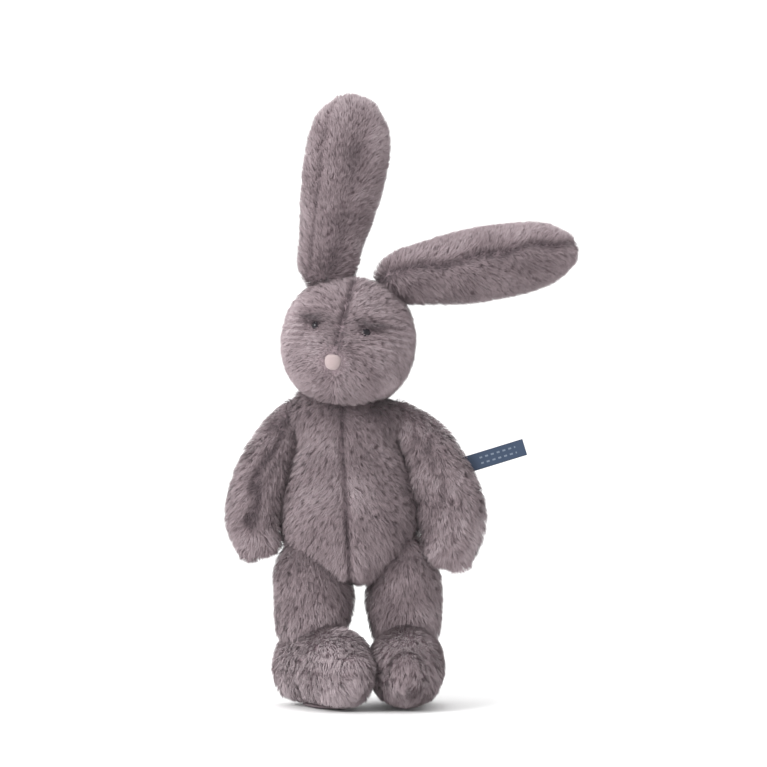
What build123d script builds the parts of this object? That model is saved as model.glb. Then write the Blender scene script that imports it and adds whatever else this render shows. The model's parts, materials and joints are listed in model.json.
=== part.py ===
"""A long-pile stuffed rabbit: pile-cloth panels sewn round soft cores, with jointed head, ears and limbs."""

from build123d import *
from math import cos, radians, sin
import os

os.makedirs("parts", exist_ok=True)

# Driving dimensions, in millimetres. The rabbit stands on the XY plane and faces -Y.
# "left" and "right" are the rabbit's own, so its right side is at -X.
CLOTH = 2.5  # packed thickness of the pile cloth: its knitted backing and the roots of the pile
CORE_GAP = 0.3  # air between the cloth and the stuffing, which also keeps two bodies apart
MIDDLE = -32.0  # X of the neck, where the trunk's centre line meets it
TO_ORIGIN = Location((-1.7, -6.8, 0))  # puts the middle of the whole toy's box over the origin

SHOULDER_Z = 171.5
SHOULDER_BALL = 9.0
HIP_Z = 62.0
HIP_BALL = 20.5
NECK_Z = 182.0
EAR_BALL = 12.5
SOLE_THICKNESS = 2.6

HEAD_CENTRE = (-31.5, 0.0, 216.6)
HEAD_YAW = -8.5  # the face looks a little to its own right
HEAD_ROLL = 8.0  # and the crown leans to its own left

DOME_ANGLES = (26, 57)  # where the rings of a rounded end are drawn, round from its tip

# Each spine below is a list of rings, (x, y, z, wide, deep): a centre and two half sizes.
TORSO_SPINE = [
    (-31.0, 0, 84.5, 27.0, 21.0),
    (-31.0, 0, 88.5, 32.0, 25.0),
    (-31.0, 0, 97.0, 36.6, 28.6),
    (-31.2, 0, 109.0, 38.2, 30.0),
    (-31.6, 0, 124.0, 37.0, 29.2),
    (-32.4, 0, 143.0, 31.8, 25.8),
    (-33.0, 0, 160.0, 26.4, 22.2),
    (-33.2, 0, 171.0, 23.6, 19.8),
    (-33.0, 0, NECK_Z, 17.5, 16.0),
]
ARM_SPINES = {
    "right": [
        (-66.8, -1, SHOULDER_Z, SHOULDER_BALL, SHOULDER_BALL),
        (-75.0, -3, 156.0, 12.2, 11.4),
        (-83.2, -5, 139.0, 13.6, 12.6),
        (-88.2, -6, 122.0, 13.9, 12.8),
        (-89.0, -6, 109.5, 13.4, 12.4),
        (-87.6, -6, 102.0, 11.8, 11.2),
    ],
    "left": [
        (0.6, -1, SHOULDER_Z, SHOULDER_BALL, SHOULDER_BALL),
        (13.4, -3, 159.0, 12.6, 11.4),
        (22.4, -5, 142.0, 15.9, 13.4),
        (28.6, -5, 124.5, 18.1, 14.4),
        (31.2, -5, 107.0, 17.7, 14.0),
        (30.0, -5, 97.0, 15.0, 12.4),
    ],
}
EAR_SPINE = [  # along its own axis, from the middle of the ball at its root
    (0, 0, 0.0, EAR_BALL, 12.0),
    (0, 0, 20.0, 18.0, 16.6),
    (0, 0, 45.0, 22.2, 19.4),
    (0, 0, 70.0, 24.6, 19.0),
    (0, 0, 90.0, 22.8, 16.8),
    (0, 0, 102.0, 17.6, 12.8),
]
EAR_TIP = 8.0  # how far the rounded tip stands out past the last ring
HEAD_SPINE = [  # from the muzzle to the back of the head, about the head's own centre
    (0, -43.0, -12.0, 9.5, 8.6),
    (0, -38.0, -11.0, 17.5, 16.2),
    (0, -29.0, -7.5, 27.0, 25.6),
    (0, -16.0, -3.0, 34.4, 33.8),
    (0, -2.0, 0.0, 38.0, 37.8),
    (0, 12.0, 0.0, 36.6, 36.4),
    (0, 24.0, 0.0, 30.0, 29.8),
    (0, 33.0, 0.0, 19.0, 18.8),
    (0, 37.0, 0.0, 7.5, 7.3),
]
LEGS = {  # where the hip's middle is, and which way the foot turns out
    "right": (-54.0, -3.0, 33.0),
    "left": (3.0, 5.0, 0.0),
}
SHIN_SPINE = [  # down from the hip's middle, in the leg's own frame
    (0, 0, HIP_Z, HIP_BALL, HIP_BALL - 0.8),
    (0, 0, 57.0, HIP_BALL, 19.6),
    (0, 0, 52.5, 20.0, 19.2),
    (0, 0, 48.5, 19.0, 18.4),
]
FOOT_SPINE = [  # from heel to toe, with the taller half size first
    (0, 4.0, 22.5, 24.4, 18.8),
    (0, -8.0, 22.5, 25.0, 19.5),
    (0, -22.0, 22.5, 25.0, 19.6),
    (0, -32.0, 22.5, 24.2, 19.4),
]
HEEL_DOME = 16.5
TOE_DOME = 17.0


def carried(place, plane):
    """A plane drawn in its own frame, carried to where `place` is."""
    return Plane(place.location * plane.location)


def spine_planes(spine, across):
    """A plane at each ring's centre, square to the spine, its x axis square to `across`."""
    centres = [Vector(x, y, z) for x, y, z, _, _ in spine]
    planes = []
    for number, centre in enumerate(centres):
        ahead = centres[min(number + 1, len(centres) - 1)]
        behind = centres[max(number - 1, 0)]
        along = (ahead - behind).normalized()
        planes.append(Plane(centre, x_dir=across.cross(along), z_dir=along))
    return planes


def dome_rings(plane, wide, deep, length, outward):
    """The rings of a rounded end, from the tip inwards, for a last ring of half sizes wide and deep."""
    rings = []
    for angle in DOME_ANGLES:
        away = outward * length * cos(radians(angle))
        rings.append((plane.offset(away), wide * sin(radians(angle)), deep * sin(radians(angle))))
    return rings


def lofted(rings):
    """One smooth closed solid through a row of elliptical rings."""
    with BuildPart() as body:
        for plane, wide, deep in rings:
            with BuildSketch(plane):
                Ellipse(wide, deep)
        loft()
    return body.part


def flat_ended(spine, across, inset=0.0):
    """A body with flat ends, every wall moved in by `inset`."""
    planes = spine_planes(spine, across)
    planes[0] = planes[0].offset(inset)
    planes[-1] = planes[-1].offset(-inset)
    return lofted([(p, s[3] - inset, s[4] - inset) for p, s in zip(planes, spine)])


def round_ended(planes, sizes, start, end, inset=0.0):
    """A body with a dome on each end, `start` and `end` tall, every wall moved in by `inset`."""
    rings = [(p, wide - inset, deep - inset) for p, (wide, deep) in zip(planes, sizes)]
    first = dome_rings(*rings[0], start - inset, -1)
    last = dome_rings(*rings[-1], end - inset, 1)
    return lofted(first + rings + last[::-1])


def arm_form(side, inset=0.0):
    """An arm: a ball at the shoulder and a rounded paw at the end of a curved spine."""
    spine = ARM_SPINES[side]
    sizes = [(s[3], s[4]) for s in spine]
    return round_ended(spine_planes(spine, Vector(0, 1, 0)), sizes, SHOULDER_BALL, spine[-1][4], inset)


def ear_form(place, inset=0.0):
    """An ear: a ball at the root of a plump leaf with a rounded tip."""
    planes = [place.offset(s[2]) for s in EAR_SPINE]
    sizes = [(s[3], s[4]) for s in EAR_SPINE]
    return round_ended(planes, sizes, EAR_BALL, EAR_TIP, inset)


def leg_place(side):
    """The plane under a hip, its -y axis along the foot."""
    x, y, turn = LEGS[side]
    return Plane(Location((x, y, 0), (0, 0, turn)))


def shin_form(side, inset=0.0):
    """The leg above the ankle: a ball at the hip on a short tube with a flat end."""
    planes = []
    for x, y, z, _, _ in SHIN_SPINE:
        ring = Plane((x, y, z), x_dir=(0, -1, 0), z_dir=(0, 0, -1))
        planes.append(carried(leg_place(side), ring))
    planes[-1] = planes[-1].offset(-inset)
    rings = [(p, s[3] - inset, s[4] - inset) for p, s in zip(planes, SHIN_SPINE)]
    return lofted(dome_rings(*rings[0], HIP_BALL - inset, -1) + rings)


def foot_form(side, inset=0.0):
    """A foot: rings from heel to toe between two domes, to be cut level underneath."""
    planes = []
    for x, y, z, _, _ in FOOT_SPINE:
        ring = Plane((x, y, z), x_dir=(0, 0, 1), z_dir=(0, -1, 0))
        planes.append(carried(leg_place(side), ring))
    sizes = [(s[3], s[4]) for s in FOOT_SPINE]
    return round_ended(planes, sizes, HEEL_DOME, TOE_DOME, inset)


def head_form(inset=0.0):
    """The head: rings from muzzle to nape, turned and leaned, cut level above the neck."""
    planes = []
    for x, y, z, _, _ in HEAD_SPINE:
        planes.append(Plane((x, y, z), x_dir=(1, 0, 0), z_dir=(0, 1, 0)))
    planes[0] = planes[0].offset(inset)
    planes[-1] = planes[-1].offset(-inset)
    placed = [carried(HEAD_PLACE, plane) for plane in planes]
    whole = lofted([(p, s[3] - inset, s[4] - inset) for p, s in zip(placed, HEAD_SPINE)])
    with BuildPart() as cut:
        add(whole)
        split(bisect_by=Plane.XY.offset(NECK_Z + 0.7 + inset), keep=Keep.TOP)
    return cut.part


def keep_part(piece, label):
    """Names a finished piece and writes it."""
    piece.part.move(TO_ORIGIN)
    piece.part.label = label
    export_step(piece.part, f"parts/{label}.step")


HEAD_PLACE = Plane(Location(HEAD_CENTRE) * Rot(0, HEAD_ROLL, 0) * Rot(0, 0, HEAD_YAW))

# ---------------------------------------------------------------- torso
torso_outer = flat_ended(TORSO_SPINE, Vector(0, 1, 0))
torso_inner = flat_ended(TORSO_SPINE, Vector(0, 1, 0), CLOTH)
torso_core = flat_ended(TORSO_SPINE, Vector(0, 1, 0), CLOTH + CORE_GAP)
side_seam = Plane((0, 0, 0), x_dir=(1, 0, 0), z_dir=(0, -1, 0))
belly_seam = Plane((MIDDLE, 0, 0), x_dir=(0, 1, 0), z_dir=(1, 0, 0))

for end, fore_aft in (("front", Keep.TOP), ("back", Keep.BOTTOM)):
    for side, across in (("left", Keep.TOP), ("right", Keep.BOTTOM)):
        with BuildPart() as torso_panel:
            add(torso_outer)
            add(torso_inner, mode=Mode.SUBTRACT)
            split(bisect_by=side_seam, keep=fore_aft)
            split(bisect_by=belly_seam, keep=across)
        keep_part(torso_panel, f"torso_{end}_{side}_panel")

PELLET_BAG = (20.0, 13.0)  # radius and half height of the lens-shaped bag
PELLET_Z = 101.0
PELLET_PLACE = Location((MIDDLE + 0.8, 0, PELLET_Z))
with BuildPart() as pellet_bag:
    Sphere(PELLET_BAG[0])
    scale(by=(1, 1, PELLET_BAG[1] / PELLET_BAG[0]))
pellet_bag.part.locate(PELLET_PLACE)
keep_part(pellet_bag, "pellet_bag")

with BuildPart() as pellet_pocket:
    Sphere(PELLET_BAG[0] + CORE_GAP)
    scale(by=(1, 1, (PELLET_BAG[1] + CORE_GAP) / (PELLET_BAG[0] + CORE_GAP)))
pellet_pocket.part.locate(PELLET_PLACE)
with BuildPart() as torso_stuffing:
    add(torso_core)
    add(pellet_pocket.part, mode=Mode.SUBTRACT)
keep_part(torso_stuffing, "torso_stuffing")

# ---------------------------------------------------------------- arms
for side in ("right", "left"):
    outward = -1 if side == "right" else 1
    arm_outer = arm_form(side)
    arm_inner = arm_form(side, CLOTH)
    shoulder, paw = ARM_SPINES[side][0], ARM_SPINES[side][-2]
    along = Vector(paw[0] - shoulder[0], 0, paw[2] - shoulder[2]).normalized()
    seam_normal = Vector(0, outward, 0).cross(along)
    front_seam = Plane((shoulder[0], 0, shoulder[2]), x_dir=along, z_dir=seam_normal)
    for face, kept in (("outer", Keep.BOTTOM), ("inner", Keep.TOP)):
        with BuildPart() as arm_panel:
            add(arm_outer)
            add(arm_inner, mode=Mode.SUBTRACT)
            split(bisect_by=front_seam, keep=kept)
        keep_part(arm_panel, f"arm_{side}_{face}_panel")
    with BuildPart() as arm_stuffing:
        add(arm_form(side, CLOTH + CORE_GAP))
    keep_part(arm_stuffing, f"arm_{side}_stuffing")

# ---------------------------------------------------------------- legs and feet
for side in ("right", "left"):
    middle = leg_place(side)
    leg_seam = Plane(middle.origin, x_dir=(0, 0, 1), z_dir=middle.x_dir)
    outer_side = Keep.BOTTOM if side == "right" else Keep.TOP
    inner_side = Keep.TOP if side == "right" else Keep.BOTTOM
    shin_outer = shin_form(side)
    shin_inner = shin_form(side, CLOTH)
    foot_outer = foot_form(side)
    foot_inner = foot_form(side, CLOTH)
    for face, kept in (("outer", outer_side), ("inner", inner_side)):
        with BuildPart() as shin_panel:
            add(shin_outer)
            add(shin_inner, mode=Mode.SUBTRACT)
            split(bisect_by=leg_seam, keep=kept)
        keep_part(shin_panel, f"shin_{side}_{face}_panel")
        with BuildPart() as foot_panel:
            add(foot_outer)
            add(foot_inner, mode=Mode.SUBTRACT)
            split(bisect_by=Plane.XY.offset(SOLE_THICKNESS), keep=Keep.TOP)
            split(bisect_by=leg_seam, keep=kept)
        keep_part(foot_panel, f"foot_{side}_{face}_panel")
    with BuildPart() as sole:
        add(foot_outer)
        split(bisect_by=Plane.XY, keep=Keep.TOP)
        split(bisect_by=Plane.XY.offset(SOLE_THICKNESS), keep=Keep.BOTTOM)
    keep_part(sole, f"foot_{side}_sole")
    with BuildPart() as shin_stuffing:
        add(shin_form(side, CLOTH + CORE_GAP))
    keep_part(shin_stuffing, f"shin_{side}_stuffing")
    with BuildPart() as foot_stuffing:
        add(foot_form(side, CLOTH + CORE_GAP))
        split(bisect_by=Plane.XY.offset(SOLE_THICKNESS + CORE_GAP), keep=Keep.TOP)
    keep_part(foot_stuffing, f"foot_{side}_stuffing")

# ---------------------------------------------------------------- ears
EAR_LEAN_BACK = 25.5
# the root ball's centre, then the angle of the ear's axis in the front view, up from +X, then its twist
EARS = {
    "right": ((-44.0, 5.0, 266.3), 80.0, 18.0),
    "left": ((4.5, 4.0, 256.9), 10.0, 80.0),
}


def ear_place(side):
    """The plane at the root ball's centre, z along the ear and x across its width."""
    (x, y, z), angle, twist = EARS[side]
    back = radians(EAR_LEAN_BACK)
    flat = radians(angle)
    along = Vector(cos(back) * cos(flat), sin(back), cos(back) * sin(flat))
    level = Vector(0, 1, 0).cross(along)
    whole = Plane((x, y, z), x_dir=level, z_dir=along)
    return Plane(whole.location * Rot(0, 0, twist))


for side in ("right", "left"):
    place = ear_place(side)
    ear_outer = ear_form(place)
    ear_inner = ear_form(place, CLOTH)
    rim_seam = Plane(place.origin, x_dir=place.x_dir, z_dir=place.y_dir)
    front_first = Keep.BOTTOM if place.y_dir.Y > 0 else Keep.TOP
    back_first = Keep.TOP if place.y_dir.Y > 0 else Keep.BOTTOM
    for face, kept in (("front", front_first), ("back", back_first)):
        with BuildPart() as ear_panel:
            add(ear_outer)
            add(ear_inner, mode=Mode.SUBTRACT)
            split(bisect_by=rim_seam, keep=kept)
        keep_part(ear_panel, f"ear_{side}_{face}_panel")
    with BuildPart() as ear_filling:
        add(ear_form(place, CLOTH + CORE_GAP))
    keep_part(ear_filling, f"ear_{side}_filling")

# ---------------------------------------------------------------- head, eyes and nose
EYE_RADIUS = 3.1
EYE_SPREAD = 14.3  # from the head's middle, across
EYE_UP = 6.5
EYE_DEPTH = -33.2  # where the eye's flat back sits on the cloth
EYE_TURN = 33.0  # each eye looks this far outwards
EYE_TILT = 22.0  # and this far up
SHANK_RADIUS = 1.1
SHANK_LENGTH = 8.5
WASHER_RADIUS = 5.0
WASHER_THICKNESS = 1.2
WASHER_BACK = 5.4  # from the eye's back to the washer's front
HOLE_PLAY = 0.25

head_outer = head_form()
head_inner = head_form(CLOTH)


def eye_plane(side):
    """The plane of an eye's flat back, z straight out of the face."""
    outward = 1 if side == "left" else -1
    local = Location((outward * EYE_SPREAD, EYE_DEPTH, EYE_UP))
    aim = Rot(0, 0, outward * EYE_TURN) * Rot(90 - EYE_TILT, 0, 0)
    return Plane(HEAD_PLACE.location * local * aim)


face_seam = Plane(HEAD_PLACE.origin, x_dir=HEAD_PLACE.y_dir, z_dir=HEAD_PLACE.x_dir)
ear_seam = Plane(HEAD_PLACE.location * Location((0, 10.0, 0)) * Rot(90, 0, 0))

for side, kept in (("left", Keep.TOP), ("right", Keep.BOTTOM)):
    with BuildPart() as face_panel:
        add(head_outer)
        add(head_inner, mode=Mode.SUBTRACT)
        split(bisect_by=ear_seam, keep=Keep.TOP)
        split(bisect_by=face_seam, keep=kept)
        with BuildSketch(eye_plane(side).offset(-2 * SHANK_LENGTH)):
            Circle(SHANK_RADIUS + HOLE_PLAY)
        extrude(amount=2 * SHANK_LENGTH, mode=Mode.SUBTRACT)
        with BuildSketch(eye_plane(side)):
            Circle(EYE_RADIUS + HOLE_PLAY)
        extrude(amount=2 * SHANK_LENGTH, mode=Mode.SUBTRACT)
    keep_part(face_panel, f"face_{side}_panel")

with BuildPart() as head_back:
    add(head_outer)
    add(head_inner, mode=Mode.SUBTRACT)
    split(bisect_by=ear_seam, keep=Keep.BOTTOM)
keep_part(head_back, "head_back_panel")

with BuildPart() as head_stuffing:
    add(head_form(CLOTH + CORE_GAP))
    for side in ("left", "right"):
        with BuildSketch(eye_plane(side).offset(-SHANK_LENGTH - 1.0)):
            Circle(WASHER_RADIUS + CORE_GAP)
        extrude(amount=2 * SHANK_LENGTH, mode=Mode.SUBTRACT)
keep_part(head_stuffing, "head_stuffing")

for side in ("left", "right"):
    back = eye_plane(side)
    with BuildPart() as eye:
        with BuildSketch(back.offset(-SHANK_LENGTH)):
            Circle(SHANK_RADIUS)
        extrude(amount=SHANK_LENGTH + 2.2)
        with Locations(back.offset(2.0)):
            Sphere(EYE_RADIUS, arc_size1=0)
        with BuildSketch(back.offset(1.2)):
            Circle(EYE_RADIUS)
        extrude(amount=0.8)
    keep_part(eye, f"eye_{side}")
    with BuildPart() as washer:
        with BuildSketch(back.offset(-WASHER_BACK - WASHER_THICKNESS)):
            Circle(WASHER_RADIUS)
            Circle(SHANK_RADIUS + 0.05, mode=Mode.SUBTRACT)
        extrude(amount=WASHER_THICKNESS)
    keep_part(washer, f"eye_washer_{side}")

NOSE = (5.0, 3.2, 4.6)  # half width, half depth, half height
NOSE_AT = (0.0, -46.6, -13.0)
with BuildPart() as nose:
    with BuildSketch(Plane.XZ):
        with BuildLine():
            CenterArc((0, 0), NOSE[0], -90, 180)
            Line((0, NOSE[0]), (0, -NOSE[0]))
        make_face()
    revolve(axis=Axis.Z)
    scale(by=(1, NOSE[1] / NOSE[0], NOSE[2] / NOSE[0]))
nose.part.locate(HEAD_PLACE.location * Location(NOSE_AT))
keep_part(nose, "nose")

# ---------------------------------------------------------------- woven tab on the left arm
TAB = (34.0, 10.0, 1.0)  # length, width and folded thickness of the ribbon
TAB_ROOT = (41.6, -3.0, 144.6)
TAB_RISE = 17.0
tab_plane = Plane(Location(TAB_ROOT, (0, -TAB_RISE, 0)))
with BuildPart() as tab:
    with BuildSketch(Plane(tab_plane.origin, x_dir=tab_plane.x_dir, z_dir=(0, -1, 0))):
        Rectangle(TAB[0], TAB[1], align=(Align.MIN, Align.CENTER))
    extrude(amount=TAB[2] / 2, both=True)
keep_part(tab, "ribbon_tab")
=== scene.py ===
# %% [markdown]
# # A long-pile stuffed rabbit
# The toy is pile cloth sewn round soft stuffing: a head, a trunk, two ears, two arms and two
# legs, with safety eyes, a small nose and a woven ribbon tab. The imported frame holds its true
# sizes and joints. Here each stuffed piece gets a sewn backing, and a pile of real hairs on it.

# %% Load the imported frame
import json
from math import cos, pi, radians, sin

import bpy
import numpy as np
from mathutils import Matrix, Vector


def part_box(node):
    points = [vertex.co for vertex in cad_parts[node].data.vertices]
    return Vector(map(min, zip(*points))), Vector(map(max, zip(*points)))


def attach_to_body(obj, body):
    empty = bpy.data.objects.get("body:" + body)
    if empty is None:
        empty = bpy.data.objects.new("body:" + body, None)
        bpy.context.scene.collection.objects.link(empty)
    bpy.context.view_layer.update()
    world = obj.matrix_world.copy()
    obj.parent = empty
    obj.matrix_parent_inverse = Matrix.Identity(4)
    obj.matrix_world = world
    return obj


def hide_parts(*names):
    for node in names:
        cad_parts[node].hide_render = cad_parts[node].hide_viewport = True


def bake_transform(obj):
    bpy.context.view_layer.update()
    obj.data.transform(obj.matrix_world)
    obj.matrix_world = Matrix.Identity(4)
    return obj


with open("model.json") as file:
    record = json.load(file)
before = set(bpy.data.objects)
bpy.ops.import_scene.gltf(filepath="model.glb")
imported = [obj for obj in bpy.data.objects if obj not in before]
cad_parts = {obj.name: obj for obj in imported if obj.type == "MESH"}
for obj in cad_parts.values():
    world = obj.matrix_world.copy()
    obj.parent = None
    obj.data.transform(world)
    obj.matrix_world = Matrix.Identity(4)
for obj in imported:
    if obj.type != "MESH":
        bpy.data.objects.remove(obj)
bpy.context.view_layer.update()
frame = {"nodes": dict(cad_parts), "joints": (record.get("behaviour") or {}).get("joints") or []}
MM = 0.001


# %% [markdown]
# The camera comes first, because everything else is seen through it. A toy on a plain ground is seen from
# well back through a long lens, level with its middle, so that its ears and feet keep their true proportions.

# %% Camera, level with the toy's middle
VIEW_WIDTH = 0.4602  # what the view takes in, across, where the toy stands
VIEW_CENTRE = (-0.0122, 0.0, 0.1923)
CAMERA_BACK = 1.9
camera_data = bpy.data.cameras.new("studio_camera")
camera_data.sensor_width = 36.0
camera_data.lens = camera_data.sensor_width * CAMERA_BACK / VIEW_WIDTH
camera = bpy.data.objects.new("studio_camera", camera_data)
camera.location = (VIEW_CENTRE[0], VIEW_CENTRE[1] - CAMERA_BACK, VIEW_CENTRE[2])
camera.rotation_euler = (radians(90), 0, 0)
bpy.context.scene.collection.objects.link(camera)
bpy.context.scene.camera = camera
print("lens", round(camera_data.lens, 1), "mm")


# %% [markdown]
# Shader maths reads best as sums and products. A small wrapper turns Python operators into Math
# nodes, and one method makes every other node.

# %% A small language for materials
class Value:
    """A number socket. Operators on it add Math nodes."""

    def __init__(self, shader, socket):
        self.shader, self.socket = shader, socket

    def _math(self, operation, a, b):
        return self.shader.node("ShaderNodeMath", {"operation": operation}, a, b)

    def __add__(self, other):
        return self._math("ADD", self, other)

    def __mul__(self, other):
        return self._math("MULTIPLY", self, other)

    def __sub__(self, other):
        return self._math("SUBTRACT", self, other)

    def __rsub__(self, other):
        return self._math("SUBTRACT", other, self)

    def __pow__(self, other):
        return self._math("POWER", self, other)

    def __gt__(self, other):
        return self._math("GREATER_THAN", self, other)

    __radd__ = __add__
    __rmul__ = __mul__


class Shader:
    """One material. node() adds a node, sets its settings first and then its sockets."""

    def __init__(self, name, **constants):
        self.material = bpy.data.materials.new(name)
        self.material.use_nodes = True
        self.tree = self.material.node_tree
        self.surface = self.tree.nodes["Principled BSDF"]
        for socket, value in constants.items():
            self.surface.inputs[socket.replace("_", " ")].default_value = value

    def node(self, kind, settings=None, *inputs, out=0, **named):
        made = self.tree.nodes.new(kind)
        for key, value in (settings or {}).items():
            if key == "stops":
                self._stops(made.color_ramp, value)
            else:
                setattr(made, key, value)
        for place, value in list(enumerate(inputs)) + list(named.items()):
            socket = made.inputs[place if isinstance(place, int) else place.replace("_", " ")]
            if isinstance(value, Value):
                self.tree.links.new(value.socket, socket)
            elif value is not None:
                socket.default_value = value
        return Value(self, made.outputs[out])

    def _stops(self, ramp, stops):
        while len(ramp.elements) < len(stops):
            ramp.elements.new(0.5)
        for element, (position, colour) in zip(ramp.elements, stops):
            element.position = position
            element.color = (*colour, 1.0)

    def feed(self, socket, value):
        self.tree.links.new(value.socket, self.surface.inputs[socket])


def linear(red, green, blue):
    """A colour given in screen units from 0 to 255, as the light that it stands for."""
    screen = np.array([red, green, blue]) / 255.0
    return tuple(np.where(screen <= 0.04045, screen / 12.92, ((screen + 0.055) / 1.055) ** 2.4))


# %% [markdown]
# Each stuffed piece is a tube of cloth with rounded ends. Its true shape is in the frame, so it is
# read off there: the panels are cut across at many places along a straight line, and each cut
# gives a middle and two half sizes. A smooth tube through those cuts is the piece.

# %% Reading a stuffed shape off the frame
def panel_edges(nodes):
    """Both ends of every edge of some panels, as one array (edges, 2, 3)."""
    ends = []
    for name in nodes:
        mesh = frame["nodes"][name].data
        points = np.empty(len(mesh.vertices) * 3)
        mesh.vertices.foreach_get("co", points)
        pairs = np.empty(len(mesh.edges) * 2, dtype=np.int64)
        mesh.edges.foreach_get("vertices", pairs)
        ends.append(points.reshape(-1, 3)[pairs.reshape(-1, 2)])
    return np.concatenate(ends)


def unit(vector):
    """The same directions with length 1, along the last axis."""
    vector = np.asarray(vector, dtype=float)
    return vector / np.maximum(np.linalg.norm(vector, axis=-1, keepdims=True), 1e-12)


class Form:
    """A stuffed piece: at each distance along a line, a middle and two half sizes across it.
    `swell` adds to those (middle across, middle fore, half across, half fore) from the distance and
    its share of the whole. `square` above 2 makes a section fuller than an ellipse."""

    CUTS = 44

    def __init__(self, name, nodes, origin, along, wide, inset=0.0, low=0.3, high=0.3,
                 stretch=(0, 0), square=2.0, swell=None):
        self.name, self.square = name, square
        self.origin = np.asarray(origin, dtype=float)
        self.along = unit(along)
        wide = np.asarray(wide, dtype=float)
        self.wide = unit(wide - self.along * (wide @ self.along))
        self.deep = np.cross(self.along, self.wide)
        ends = panel_edges(nodes) - self.origin
        run, side, fore = ends @ self.along, ends @ self.wide, ends @ self.deep
        first, last = run.min() + 0.0004, run.max() - 0.0004
        self.run = np.linspace(first, last, self.CUTS)
        rows = []
        for level in self.run:
            cut = (run[:, 0] - level) * (run[:, 1] - level) < 0
            share = (level - run[cut, 0]) / (run[cut, 1] - run[cut, 0])
            a = side[cut, 0] + share * (side[cut, 1] - side[cut, 0])
            b = fore[cut, 0] + share * (fore[cut, 1] - fore[cut, 0])
            rows.append((a.max() + a.min(), b.max() + b.min(), a.max() - a.min(), b.max() - b.min()))
        rows = np.array(rows) / 2
        kernel = np.array([1.0, 2.0, 3.0, 2.0, 1.0]) / 9.0
        padded = np.pad(rows, ((2, 2), (0, 0)), mode="edge")
        self.rows = np.stack([np.convolve(padded[:, k], kernel, "valid") for k in range(4)], axis=1)
        self.rows[:, 2:] = np.maximum(self.rows[:, 2:] - inset, 0.002)
        if swell:
            self.rows += swell(self.run, np.linspace(0, 1, self.CUTS))
        self.run = self.run + np.linspace(-stretch[0], stretch[1], self.CUTS)
        self.low = low * self.rows[0, 2:].mean()
        self.high = high * self.rows[-1, 2:].mean()
        self.first, self.last = self.run[0] - self.low, self.run[-1] + self.high

    def section(self, distance):
        """The middle and the half sizes at some distances, with a dome past each end."""
        row = np.stack([np.interp(distance, self.run, self.rows[:, k]) for k in range(4)], axis=-1)
        under = np.clip((self.run[0] - distance) / self.low, 0, 1)
        over = np.clip((distance - self.run[-1]) / self.high, 0, 1)
        dome = np.maximum(1 - np.maximum(under, over) ** 2.4, 0) ** (1 / 2.4)
        return row[..., :2], row[..., 2:] * dome[..., None]

    def surface(self, around, down):
        """Points at turns `around` (0 to 1) and shares `down` (0 to 1) of the way along: the
        middle of the section plus its two half sizes times the cosine and sine of the turn.
        The shares are bunched at both ends by a cosine, so that the domes are round."""
        distance = self.first + (self.last - self.first) * (1 - np.cos(pi * down)) / 2
        middle, half = self.section(distance)
        cosine, sine = np.cos(2 * pi * around), np.sin(2 * pi * around)
        power = 2 / self.square
        a = middle[..., 0] + half[..., 0] * np.sign(cosine) * np.abs(cosine) ** power
        b = middle[..., 1] + half[..., 1] * np.sign(sine) * np.abs(sine) ** power
        return (self.origin + distance[..., None] * self.along
                + a[..., None] * self.wide + b[..., None] * self.deep)

    def outside(self, points):
        """About how far points stand outside the piece, negative inside: the ellipse rule of the
        section at each point's own distance, times its mean half size."""
        local = points - self.origin
        distance = local @ self.along
        held = np.clip(distance, self.first, self.last)
        middle, half = self.section(held)
        half = np.maximum(half, 0.0015)
        a = (local @ self.wide - middle[..., 0]) / half[..., 0]
        b = (local @ self.deep - middle[..., 1]) / half[..., 1]
        fullness = (np.abs(a) ** self.square + np.abs(b) ** self.square) ** (1 / self.square)
        across = (fullness - 1) * half.mean(axis=-1)
        beyond = np.abs(distance - held)
        return np.where(beyond > 0, np.hypot(np.maximum(across, 0), beyond), across)


def joint_at(name):
    """Where a joint's axis passes, in metres."""
    return np.array(next(j for j in frame["joints"] if j["name"] == name)["pos_m"])


def middle_of(*nodes):
    """The middle of the box round some nodes."""
    boxes = np.array([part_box(name) for name in nodes])
    return (boxes[:, 0].min(axis=0) + boxes[:, 1].max(axis=0)) / 2


def main_direction(nodes):
    """The directions in which some nodes are longest, next longest and thinnest."""
    points = panel_edges(nodes).reshape(-1, 3)
    spread = np.cov((points - points.mean(axis=0)).T)
    return np.linalg.eigh(spread)[1].T[::-1]


# %% [markdown]
# Now the pieces by name. The backing lies a little inside the panels' outer face, because the
# panels' thickness is cloth and packed pile, and the hairs have to start below it.

# %% The stuffed pieces
BACKING_IN = 1.6 * MM
THIGH_SHIFTS = {"right": (0.003, 0.0022, -0.0025), "left": (0.009, -0.0014, 0.0)}  # forward, inward, outward
X, Y, Z = np.eye(3)
forms = {}

torso_panels = [f"torso_{end}_{side}_panel" for end in ("front", "back") for side in ("left", "right")]
torso_middle = middle_of(*torso_panels)


def bell(height, middle, reach):
    """1 at the middle, falling smoothly to nothing at about twice the reach either side."""
    return np.exp(-((height - middle) / reach) ** 2)


def torso_swell(height, share):
    """Fuller at the shoulders, where the arms are sewn in, and along the flanks, and narrower
    below, where it tapers to a point between the thighs."""
    wider = (0.0135 * bell(height, 0.176, 0.012) + 0.0035 * bell(height, 0.130, 0.030)
             - 0.007 * bell(height, 0.080, 0.012))
    deeper = 0.0015 * bell(height, 0.170, 0.014)
    return np.stack([0 * height, 0 * height, wider, deeper], axis=1)


def ear_swell(run, share):
    """Broader at the root, where it is gathered into the crown, and at the tip, which is blunt."""
    tip, base = 0.0022 * bell(share, 0.93, 0.10), bell(share, 0.06, 0.13)
    return np.stack([0 * run, 0 * run, tip + 0.0045 * base, tip * 0.6 + 0.0025 * base], axis=1)


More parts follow.
